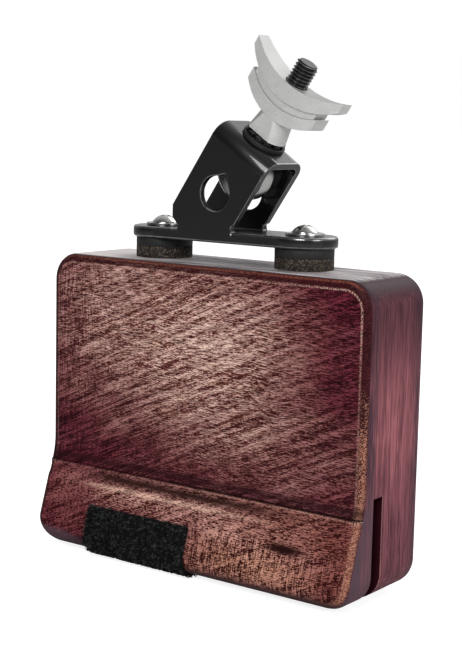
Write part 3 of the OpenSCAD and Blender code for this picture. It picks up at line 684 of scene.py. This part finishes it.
def lip_marks(tree, spot, front, brushed):
    """Over the front: painted shade over the crease and in it, the ledge's worn edge with a painted
    highlight, the hollow under it and the crest below, on a slightly uneven level, then the knot and the
    foot, a band of painted shade and sheen along the bottom rounding."""
    level = nudged(tree, spot.level, noise(tree, spot.place, UNEVEN_SIZE, detail=2.0), UNEVEN)
    front = lip_mark(tree, spot, front, COVE_SHADE, level)
    front = lip_mark(tree, spot, front, CREASE_SHADE, spot.level,
                     scaled(tree, span(tree, spot.x, *CREASE_X), *CREASE_ENDS))
    # The ledge's edge: worn, and lightened by a painted highlight
    front = lip_mark(tree, spot, front, LEDGE_GLEAM, level, spot.speck,
                     scaled(tree, span(tree, spot.x, *LEDGE_X), *LEDGE_ENDS))
    ends = (span(tree, spot.x, *end) for end in HOLLOW_ENDS)
    front = lip_mark(tree, spot, front, HOLLOW_SHADE, level, *ends)
    ends = (span(tree, spot.x, *end) for end in CREST_ENDS)
    front = lip_mark(tree, spot, front, CREST_GLEAM, level, scaled(tree, brushed, *CREST_SHARE), *ends)
    front = paint(tree, span(tree, stored(tree, "knot"), *KNOT_EDGE), front, KNOT_BROWN)
    # The foot: painted shade along the lip's bottom rounding, and at the left a painted grey sheen from the
    # floor's light
    at_left = span(tree, spot.x, *FOOT_X)
    foot = span(tree, less(tree, level, times(tree, at_left, FOOT_RISE)), *FOOT_Z)
    return paint(tree, times(tree, foot, spot.in_front, FOOT_SHARE), front,
                 paint(tree, at_left, FOOT_SHADE, FOOT_SHEEN))


STREAK_SIZE = (0.9, 0.8, 26.0)
FINE_STREAK_SIZE, FINE_SHARE = (0.6, 0.45, 8.0), 0.4
SIDE_PATCH = (14.0, 9.0, 26.0)
SIDE_GRAIN, SIDE_DARK, SIDE_ROSE = (0.36, 0.66), "4c2630", "885059"
LIVELY_PATCH, LIVELY_GRAIN, LIVELY = (0.35, 0.60), (0.38, 0.64), "b46e75"
PATCH_SHARE, GRAIN_SHARE = (0.35, 0.6), (0.6, 0.3)
LIVELY_TOP, LIVELY_FOOT = (104.0, 66.0), (18.0, 60.0)
STREAKED, STREAK_SHARE = (0.60, 0.40), (0.5, 0.5)
NEAR_REAR, NEAR_FRONT, NEAR_SHARE = (REAR_Y - 10.0, REAR_Y - 4.0), (7.0, 4.5), 0.85
UPPER_SIDE, UPPER_SHARE = (62.0, 92.0), 0.5
SLOT_MIDDLE = FRONT_Y + SLOT_FRONT + SLOT_WIDTH / 2
LIP_SIDE_Z, LIP_SIDE_Y, LIP_SIDE_SHARE = (40.0, 32.0), (SLOT_MIDDLE + 1.0, SLOT_MIDDLE - 1.0), 0.85
SLOT_EDGE_Y, SLOT_EDGE_HALF, SLOT_EDGE_SHARE = SLOT_MIDDLE + SLOT_WIDTH / 2 + 0.3, 0.4, 0.9
SLOT_EDGE_Z = (SLOT_HEIGHT + 0.5, SLOT_HEIGHT)
# Painted light on the sides: sheen greys near the edges and on the lip's side, a highlight on the slot's
# rear edge, shade on the shoulder
SHOULDER, SHOULDER_SHARE = (0.15, 0.75), 0.8
EDGE_SHEEN_GREY, UPPER_DARK, LIP_SIDE_SHEEN_GREY = "40303b", "3c222a", "5a4852"
SLOT_EDGE_WORN_GLEAM, SHOULDER_SHADE = "c09080", "2b1c23"


def satin_sides(tree, spot, upward):
    """Sides: upright streaks of rose and dark stain, liveliest at half height, with a painted grey sheen
    toward the edges and beside the lip, a worn line with a painted highlight along the rear of the slot, and
    painted shade on the shoulder."""
    grain = blend(tree, FINE_SHARE, noise(tree, spot.place, STREAK_SIZE, detail=2.0, roughness=0.5),
                  noise(tree, spot.place, FINE_STREAK_SIZE, detail=1.0))
    side = paint(tree, span(tree, grain, *SIDE_GRAIN), SIDE_DARK, SIDE_ROSE)
    patch = span(tree, noise(tree, spot.place, SIDE_PATCH, detail=2.0), *LIVELY_PATCH)
    lively = times(tree, scaled(tree, patch, *PATCH_SHARE),
                   span(tree, spot.level, *LIVELY_TOP), span(tree, spot.level, *LIVELY_FOOT),
                   scaled(tree, span(tree, grain, *LIVELY_GRAIN), *GRAIN_SHARE))
    side = paint(tree, lively, side, LIVELY)
    streaks = scaled(tree, span(tree, grain, *STREAKED), *STREAK_SHARE)
    near_edge = larger(tree, span(tree, spot.y, *NEAR_REAR), span(tree, spot.depth, *NEAR_FRONT))
    # Painted sheen: greyer and darker near the front and rear edges of the side
    side = paint(tree, times(tree, near_edge, streaks, NEAR_SHARE), side, EDGE_SHEEN_GREY)
    side = paint(tree, times(tree, span(tree, spot.level, *UPPER_SIDE), UPPER_SHARE), side, UPPER_DARK)
    # Painted sheen: the side of the lip, in front of the slot, greyed
    lip_side = times(tree, span(tree, spot.level, *LIP_SIDE_Z), span(tree, spot.y, *LIP_SIDE_Y),
                     streaks, LIP_SIDE_SHARE)
    side = paint(tree, lip_side, side, LIP_SIDE_SHEEN_GREY)
    # Worn line along the rear edge of the slot, lightened further by a painted highlight
    slot_edge = times(tree, line(tree, spot.y, SLOT_EDGE_Y, SLOT_EDGE_HALF), spot.speck,
                      span(tree, spot.level, *SLOT_EDGE_Z), SLOT_EDGE_SHARE)
    side = paint(tree, slot_edge, side, SLOT_EDGE_WORN_GLEAM)
    # Painted shade: darker where the side turns up into the top's rounding
    shoulder = times(tree, span(tree, upward, *SHOULDER), SHOULDER_SHARE)
    return paint(tree, shoulder, side, SHOULDER_SHADE)


# Top: painted sheen, greys that stand for the room's reflection in the lacquer, streaked along the grain
TOP_GRAIN, TOP_STREAKS = (18.0, 0.7, 1.2), (0.38, 0.62)
TOP_PALE_X, TOP_PALE_SHARE = (-10.0, -55.0), 0.8
TOP_SHEEN_DARK, TOP_SHEEN_GREY, TOP_SHEEN_PALE = "5e5659", "cfc8c9", "dcd4d2"


def sheen_painted_top(tree, spot):
    """Top: a painted sheen, the grey reflection of the room in the satin lacquer, in streaks along the
    grain, paler toward the left.
    """
    run = noise(tree, spot.place, TOP_GRAIN, detail=4.0, roughness=0.55)
    top = paint(tree, span(tree, run, *TOP_STREAKS), TOP_SHEEN_DARK, TOP_SHEEN_GREY)
    return paint(tree, times(tree, span(tree, spot.x, *TOP_PALE_X), TOP_PALE_SHARE), top, TOP_SHEEN_PALE)


FACING_SIDE, BEHIND_FACE, FACING_UP = (0.60, 0.35), (0.5, 1.0), (0.90, 0.995)
SAW_REACH = 0.03
SAWN_EDGE, SAWN_DARK = (0.1, 0.2), "34101a"
STROKE_RELIEF = 0.06


def stained_wood():
    """Burgundy stain, brushed so that the fibres show pale: it gives the dark red face, its pale rubbed
    patch, the tan worn edges, the plainer satin sides, and a painted grey sheen on the top."""
    material, tree, shader = new_material("burgundy_stained_wood")
    spot = on_block(tree)
    strokes = brush_strokes(tree, spot)
    brushed = span(tree, strokes, *BRUSHED)
    front = worn_edges(tree, spot, brushed_front(tree, spot, strokes, brushed))
    front = lip_marks(tree, spot, front, brushed)
    normal = add(tree, "SeparateXYZ", Vector=add(tree, "TexCoord").outputs["Normal"]).outputs
    off_face = times(tree, span(tree, away(tree, normal[1], 0.0), *FACING_SIDE),
                     span(tree, spot.depth, *BEHIND_FACE))
    color = paint(tree, off_face, front, satin_sides(tree, spot, normal[2]))
    # Painted sheen: faces that turn up take the grey of the top's reflection instead of the stain
    on_top = times(tree, off_face, span(tree, normal[2], *FACING_UP))
    color = paint(tree, on_top, color, sheen_painted_top(tree, spot))
    off_middle = away(tree, spot.y, SLOT_MIDDLE)
    sawn = times(tree, span(tree, off_middle, SLOT_WIDTH / 2 + SAW_REACH, SLOT_WIDTH / 2),
                 span(tree, spot.level, SLOT_HEIGHT + SAW_REACH, SLOT_HEIGHT))
    color = paint(tree, span(tree, sawn, *SAWN_EDGE), color, SAWN_DARK)
    tree.links.new(color, shader.inputs["Base Color"])
    set_shader(shader, Roughness=0.5, Specular_IOR_Level=0.07, Coat_Weight=0.02, Coat_Roughness=0.3)
    bump(tree, shader, strokes, STROKE_RELIEF)
    return material


block.data.materials.clear()
block.data.materials.append(stained_wood())
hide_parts("wood_block")
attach(block, "block")

# Loop pad: the soft half of a hook-and-loop strip, glued round the bottom edge of the
# lip. A woven backing carries thousands of small black nylon loops.
PAD_MIDDLE = -21.0
PAD_WIDTH = 46.0
PAD_HEIGHT = 17.0
PAD_SETBACK = 1.5
BACKING = 0.8
YARN_SEED = 7
LOOP_COUNT = 5200
LOOP_POINTS = 7
YARN_RADIUS = 0.11
YARN_SIDES = 3
LOOP_OVERHANG = 0.05
LOOP_HALF_SPAN = (0.22, 0.5)
LOOP_RISE = (0.55, 1.0)
LOOP_ROOT = 0.1
LOOP_LEAN, LOOP_TWIST = 0.28, 0.12
OFF_YARN = (0.35, 0.62, 0.70)
PAD_GRID = (70, 60)
PAD_TRIM = 0.2
WEAVE, WEAVE_RELIEF = 0.9, 0.05
FRAY, FINE_FRAY = (0.12, 3.1), (0.1, 7.7)
BACKING_SHARP = math.radians(40)

slant = math.atan(LIP_SLOPE)
run_z = LIP_EDGE * (1 + math.sin(slant))
run_y = FRONT_Y - COVE_REACH - CREASE_LEDGE - LIP_SLOPE * (CREASE_Z - run_z)
round_y = run_y + LIP_EDGE * math.cos(slant)
under_length = FRONT_Y + SLOT_FRONT - PAD_SETBACK - round_y
round_length = LIP_EDGE * (math.pi / 2 + slant)
face_length = (PAD_HEIGHT - run_z) / math.cos(slant)
pad_length = under_length + round_length + face_length


def lip_wrap(along, height):
    """The y and z of a point at a height over the wood, along a way that starts under the
    tongue, goes round the bottom edge of the lip in an arc and climbs its face."""
    turn = np.clip(along - under_length, 0, round_length) / LIP_EDGE
    under = np.clip(under_length - along, 0, None)
    climb = np.clip(along - under_length - round_length, 0, None)
    reach = LIP_EDGE + height
    y = round_y - reach * np.sin(turn) + under + climb * math.sin(slant)
    z = BLOCK_BOTTOM + LIP_EDGE - reach * np.cos(turn) + climb * math.cos(slant)
    return y, z


random = np.random.default_rng(YARN_SEED)
along, aside = np.meshgrid(np.linspace(0, pad_length, PAD_GRID[0]), np.linspace(0, PAD_WIDTH, PAD_GRID[1]),
                           indexing="ij")
off_middle = aside / PAD_WIDTH - 0.5
ragged = FRAY[0] * np.sin(along * FRAY[1]) + FINE_FRAY[0] * np.sin(along * FINE_FRAY[1] + 1)
pad_x = PAD_MIDDLE - PAD_WIDTH / 2 + aside + ragged * off_middle * 2 - PAD_TRIM * off_middle
woven = BACKING + WEAVE_RELIEF * np.sin(aside * 2 * math.pi / WEAVE) * np.sin(along * 2 * math.pi / WEAVE)
outer_y, outer_z = lip_wrap(along, woven)
inner_y, inner_z = lip_wrap(along, np.zeros_like(along))
outer_grid = np.stack([pad_x, outer_y, outer_z], -1)
inner_grid = np.stack([pad_x, inner_y, inner_z], -1)
no_bands = np.empty((0,) + ring_order(outer_grid).shape)
backing_points, backing_faces = join_sheets(outer_grid, inner_grid, no_bands)
backing = mesh_object("loop_backing", backing_points, backing_faces)
backing.data.set_sharp_from_angle(angle=BACKING_SHARP)


def yarn_loops():
    """Small arches of yarn. Each is half an ellipse that stands on the backing, leans
    to one side and is turned its own way; a three-sided tube is carried along it."""
    share = np.linspace(0, 1, LOOP_POINTS)[None, :]
    column = (LOOP_COUNT, 1)
    start = random.uniform(0.0, pad_length + 2 * LOOP_OVERHANG, column)
    place = random.uniform(-LOOP_OVERHANG, PAD_WIDTH + LOOP_OVERHANG, column)
    heading = random.uniform(0, 2 * math.pi, column)
    half_span = random.uniform(*LOOP_HALF_SPAN, column)
    rise = random.uniform(*LOOP_RISE, column)
    lean = random.normal(0, LOOP_LEAN, column)
    angle = math.pi * share
    run = half_span * np.cos(angle)
    drift = lean * np.sin(angle) + LOOP_TWIST * np.sin(2 * angle)
    step_along = run * np.sin(heading) + drift * np.cos(heading)
    step_aside = run * np.cos(heading) - drift * np.sin(heading)
    height = BACKING - LOOP_ROOT + rise * np.sin(angle)
    y, z = lip_wrap(start + step_along, height)
    x = PAD_MIDDLE - PAD_WIDTH / 2 + place + step_aside
    path = np.stack([x, y, z], -1)
    ahead = np.gradient(path, axis=1)
    ahead /= np.linalg.norm(ahead, axis=-1, keepdims=True)
    across_yarn = np.cross(ahead, np.array(OFF_YARN))
    across_yarn /= np.linalg.norm(across_yarn, axis=-1, keepdims=True)
    other = np.cross(ahead, across_yarn)
    spin = 2 * math.pi * np.arange(YARN_SIDES) / YARN_SIDES
    ring = (across_yarn[:, :, None] * np.cos(spin)[:, None] + other[:, :, None] * np.sin(spin)[:, None])
    points = path[:, :, None] + YARN_RADIUS * ring
    ids = np.arange(points[..., 0].size).reshape(points.shape[:3])
    turned = np.roll(ids, -1, axis=2)
    faces = np.stack([ids[:, :-1], turned[:, :-1], turned[:, 1:], ids[:, 1:]], -1).reshape(-1, 4).tolist()
    shade = np.repeat(random.uniform(0, 1, LOOP_COUNT), LOOP_POINTS * YARN_SIDES)
    return points.reshape(-1, 3), faces, shade


loop_points, loop_faces, loop_shade = yarn_loops()
pile = mesh_object("loop_pile", loop_points, loop_faces)
set_attribute(pile.data, "shade", loop_shade)


LIT_YARNS = (0.62, 1.0)
DUST_SIZE, DUST = (1.6, 1.6, 1.6), (0.35, 0.7)
NYLON, DUSTY_NYLON, LIT_NYLON = "040505", "0c0e0e", "5a5d5d"


def black_nylon():
    """Black nylon yarn: nearly black, with single yarns that catch the light."""
    material, tree, shader = new_material("black_nylon_loop")
    place = in_mm(tree)
    lit = span(tree, stored(tree, "shade"), *LIT_YARNS)
    dust = span(tree, noise(tree, place, DUST_SIZE), *DUST)
    color = paint(tree, dust, NYLON, DUSTY_NYLON)
    color = paint(tree, lit, color, LIT_NYLON)
    tree.links.new(color, shader.inputs["Base Color"])
    set_shader(shader, Roughness=0.6, Specular_IOR_Level=0.25)
    return material


nylon = black_nylon()
for piece in (backing, pile):
    piece.data.materials.append(nylon)
    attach(piece, "block")
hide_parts("loop_pad")

# Spacers: under each end of the bracket a pad of cork granules bound in rubber, and a
# black rubber washer on it. Both are punched from sheet and squeezed by the screw.
GRANULE, GRANULE_RELIEF = 0.48, 0.14
BROWN_GRANULES, GREY_GRANULES = (0.3, 0.75), (0.78, 0.98)
PORE_SIZE, PORES = (0.5, 0.5, 0.4), (0.62, 0.36)
BINDER, CORK_BROWN, CORK_GREY, PORE_BLACK = "2a211e", "5a4e42", "726b5e", "171413"


def cork_rubber():
    """Cork granules in dark rubber: it gives the speckled brown and grey sides."""
    material, tree, shader = new_material("cork_rubber")
    place = in_mm(tree)
    cells = add(tree, "TexVoronoi", {"feature": "F1"}, Vector=place, Scale=1 / GRANULE, Randomness=1.0)
    kind = add(tree, "SeparateColor", Color=cells.outputs["Color"]).outputs[0]
    color = paint(tree, span(tree, kind, *BROWN_GRANULES), BINDER, CORK_BROWN)
    color = paint(tree, span(tree, kind, *GREY_GRANULES), color, CORK_GREY)
    fine = noise(tree, place, PORE_SIZE)
    color = paint(tree, span(tree, fine, *PORES), color, PORE_BLACK)
    tree.links.new(color, shader.inputs["Base Color"])
    set_shader(shader, Roughness=0.85, Specular_IOR_Level=0.3)
    bump(tree, shader, scaled(tree, fine, 1.0, cells.outputs["Distance"]), GRANULE_RELIEF)
    return material


RUBBER_GRAIN, RUBBER_RELIEF = (0.8, 0.8, 0.8), 0.04
RUBBER_BLACK, RUBBER_GREY = "0d0e0e", "242526"


def black_rubber():
    """Black rubber: dull and even, with a faint moulded grain."""
    material, tree, shader = new_material("black_rubber")
    place = in_mm(tree)
    grain = noise(tree, place, RUBBER_GRAIN, detail=4.0)
    tree.links.new(paint(tree, grain, RUBBER_BLACK, RUBBER_GREY), shader.inputs["Base Color"])
    set_shader(shader, Roughness=0.6, Specular_IOR_Level=0.4)
    bump(tree, shader, grain, RUBBER_RELIEF)
    return material


CRISP_ANGLE = math.radians(35)
JOIN_REACH = 0.001
EDGE_SEGMENTS = 2
PUNCHED_EDGE = 0.25


def dress(material, edge, *names):
    """Gives CAD nodes a material and, where edge isn't 0, rounds their edges by so many
    millimetres. The skin, which comes in split faces, is joined for it, and then parted
    again at what stays sharp."""
    for name in names:
        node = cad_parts[name]
        node.data.materials.clear()
        node.data.materials.append(material)
        if not edge:
            continue
        node.modifiers.new("joined_skin", "WELD").merge_threshold = JOIN_REACH * MM
        soft = node.modifiers.new("rounded_edges", "BEVEL")
        soft.width = edge * MM
        soft.segments = EDGE_SEGMENTS
        soft.use_clamp_overlap = False
        soft.limit_method = "ANGLE"
        soft.angle_limit = CRISP_ANGLE
        node.modifiers.new("crisp_edges", "EDGE_SPLIT").split_angle = CRISP_ANGLE


dress(cork_rubber(), PUNCHED_EDGE, "left_cork_pad", "right_cork_pad")
dress(black_rubber(), PUNCHED_EDGE, "left_rubber_washer", "right_rubber_washer", "seat_washer")

# Bracket: a foot strip with round ends and a stirrup folded from steel sheet, welded
# together and painted gloss black.
FOLDED_EDGE = 0.3
PEEL_SIZE, PEEL_RELIEF = (1.8, 1.8, 1.8), 0.012
EDGE_WEAR_SIZE = (3.0, 3.0, 3.0)
PAINT_BLACK, PAINT_LIT, RUBBED_GREY, RUBBED_STEEL = "0c0c0d", "131314", "48484a", "a2a2a4"


def gloss_paint():
    """Gloss black paint: nearly black, with sharp highlights that a slight orange peel
    makes uneven."""
    material, tree, shader = new_material("gloss_black_paint")
    place = in_mm(tree)
    peel = noise(tree, place, PEEL_SIZE, detail=2.0)
    tree.links.new(paint(tree, peel, PAINT_BLACK, PAINT_LIT), shader.inputs["Base Color"])
    set_shader(shader, Roughness=0.4, Specular_IOR_Level=0.3, Coat_Weight=0.55, Coat_Roughness=0.06)
    bump(tree, shader, peel, PEEL_RELIEF)
    return material


def worn_paint():
    """The same paint polished thin along the edges, where it gleams as a pale line."""
    material, tree, shader = new_material("worn_black_paint")
    wear = noise(tree, in_mm(tree), EDGE_WEAR_SIZE, detail=3.0)
    tree.links.new(paint(tree, wear, RUBBED_GREY, RUBBED_STEEL), shader.inputs["Base Color"])
    set_shader(shader, Metallic=0.9, Roughness=0.25)
    return material


dress(gloss_paint(), FOLDED_EDGE, "mount_bracket")
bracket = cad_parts["mount_bracket"]
bracket.data.materials.append(worn_paint())
bracket.modifiers["rounded_edges"].material = 1

# Screws and their washers, and the eye: steel, turned or pressed, and plated with
# bright zinc. The screws go through strip and spacers into the block.
SCREW_EDGE, EYE_EDGE = 0.12, 0.3
TURNING_MARKS, TURNING_RELIEF = (1.5, 1.5, 0.12), 0.006
ZINC_GREY, ZINC_WHITE = "a9aaab", "dddcd9"


def bright_zinc():
    """Bright zinc plating: a clear silver mirror with faint turning marks."""
    material, tree, shader = new_material("bright_zinc")
    place = in_mm(tree)
    marks = noise(tree, place, TURNING_MARKS, detail=3.0)
    tree.links.new(paint(tree, marks, ZINC_GREY, ZINC_WHITE), shader.inputs["Base Color"])
    set_shader(shader, Metallic=1.0, Roughness=0.22)
    bump(tree, shader, marks, TURNING_RELIEF)
    return material


zinc = bright_zinc()
dress(zinc, SCREW_EDGE, "left_screw", "right_screw", "left_screw_washer", "right_screw_washer")
dress(zinc, EYE_EDGE, "clamp_eye")

# Stud: an M8 thread rolled on steel rod, with a black oxide finish. Its spigot is
# riveted in the eye, and the toothed washer under the wing nut has the same finish.
STUD_RADIUS = 4.0
THREAD_PITCH = 1.25
THREAD_DEPTH = 0.72
STUD_CHAMFER = 0.8
STUD_COLUMNS = 48
ROWS_PER_PITCH = 10
GROOVE_REACH, GROOVE_SLOPE = 1.25, 2.5
THREAD_SHARP = math.radians(45)
TOOTH_EDGE = 0.15
LEAN = math.radians(34)
STUD_BOTTOM = 18.25
STUD_TIP = 54.0
HOLE_HEIGHT = 134.5
HOLE_DEPTH = FRONT_Y + BLOCK_DEPTH / 2


def along_stud(across_x, across_y, station):
    """Puts points drawn along the stud into the frame: the stud leans toward +X."""
    return np.stack([across_x * math.cos(LEAN) + station * math.sin(LEAN), HOLE_DEPTH + across_y,
                     HOLE_HEIGHT - across_x * math.sin(LEAN) + station * math.cos(LEAN)], -1)


def threaded_rod():
    """Rod whose radius is a function of the angle and the station: a blunt V that climbs
    one pitch a turn, cut off by the chamfer at the tip."""
    rows = int((STUD_TIP - STUD_BOTTOM) / THREAD_PITCH * ROWS_PER_PITCH)
    station = np.linspace(STUD_BOTTOM, STUD_TIP, rows)[:, None]
    angle = np.linspace(0, 2 * math.pi, STUD_COLUMNS, endpoint=False)[None, :]
    phase = (station / THREAD_PITCH - angle / (2 * math.pi)) % 1.0
    groove = np.clip(GROOVE_REACH - GROOVE_SLOPE * np.abs(phase - 0.5), 0, 1)
    radius = STUD_RADIUS - THREAD_DEPTH * groove
    radius = np.minimum(radius, STUD_RADIUS - STUD_CHAMFER + (STUD_TIP - station))
    side = along_stud(radius * np.cos(angle), radius * np.sin(angle), station + 0 * angle)
    ids = np.arange(side[..., 0].size).reshape(side.shape[:2])
    turned = np.roll(ids, -1, axis=1)
    faces = np.stack([ids[:-1], turned[:-1], turned[1:], ids[1:]], -1).reshape(-1, 4).tolist()
    return side.reshape(-1, 3), faces + [ids[0, ::-1].tolist(), ids[-1].tolist()], (1 - groove).ravel()


rod_points, rod_faces, rod_crest = threaded_rod()
rod = mesh_object("threaded_rod", rod_points, rod_faces)
rod.data.set_sharp_from_angle(angle=THREAD_SHARP)
set_attribute(rod.data, "crest", rod_crest)


OXIDE_WEAR, OXIDE_RELIEF = (0.9, 0.9, 0.5), 0.02
CREST_GLINT = (0.7, 1.0)
OXIDE_BLACK, OXIDE_GREY, CREST_GREY = "161617", "3a3a3c", "8e8e90"


def black_oxide():
    """Black oxide on steel: dark grey metal with a soft gleam on the crests."""
    material, tree, shader = new_material("black_oxide_steel")
    place = in_mm(tree)
    wear = noise(tree, place, OXIDE_WEAR, detail=4.0)
    color = paint(tree, wear, OXIDE_BLACK, OXIDE_GREY)
    color = paint(tree, span(tree, stored(tree, "crest"), *CREST_GLINT), color, CREST_GREY)
    tree.links.new(color, shader.inputs["Base Color"])
    set_shader(shader, Metallic=0.85, Roughness=0.38)
    bump(tree, shader, wear, OXIDE_RELIEF)
    return material


oxide = black_oxide()
rod.data.materials.append(oxide)
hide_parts("threaded_stud")
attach(rod, "eye_bolt")
dress(oxide, TOOTH_EDGE, "lock_washer")

# Wing nut and upper wing: two zinc castings, tumbled satin and left bare. The tongue of
# the upper wing nests in the hollow of the lower one, and both turn on the stud.
PIT_SIZE, PITS, PIT_RELIEF = (0.45, 0.45, 0.45), (0.42, 0.25), 0.02
BLOT_SIZE = (5.0, 5.0, 3.0)
SADDLE_UP, SADDLE_SHADE = (0.15, 0.55), 0.85
AS_CAST = 0
CAST_GREY, CAST_PALE, PIT_GREY, SADDLE_SHADE_GREY = "c6c6c5", "dededc", "8e8e8e", "8c8c8b"


def satin_casting():
    """Tumbled zinc casting: light satin grey with a fine pitted skin, and painted shade on the faces that
    turn upward.
    """
    material, tree, shader = new_material("satin_zinc_casting")
    place = in_mm(tree)
    skin = noise(tree, place, PIT_SIZE, detail=4.0)
    blot = noise(tree, place, BLOT_SIZE, detail=2.0)
    color = paint(tree, blot, CAST_GREY, CAST_PALE)
    color = paint(tree, span(tree, skin, *PITS), color, PIT_GREY)
    # Painted shade: the faces that turn upward are greyed darker
    facing_up = add(tree, "SeparateXYZ", Vector=add(tree, "TexCoord").outputs["Normal"]).outputs[2]
    saddle = times(tree, span(tree, facing_up, *SADDLE_UP), SADDLE_SHADE)
    color = paint(tree, saddle, color, SADDLE_SHADE_GREY)
    tree.links.new(color, shader.inputs["Base Color"])
    set_shader(shader, Metallic=0.25, Roughness=0.4)
    bump(tree, shader, skin, PIT_RELIEF)
    return material


dress(satin_casting(), AS_CAST, "wing_nut", "wing_cap")
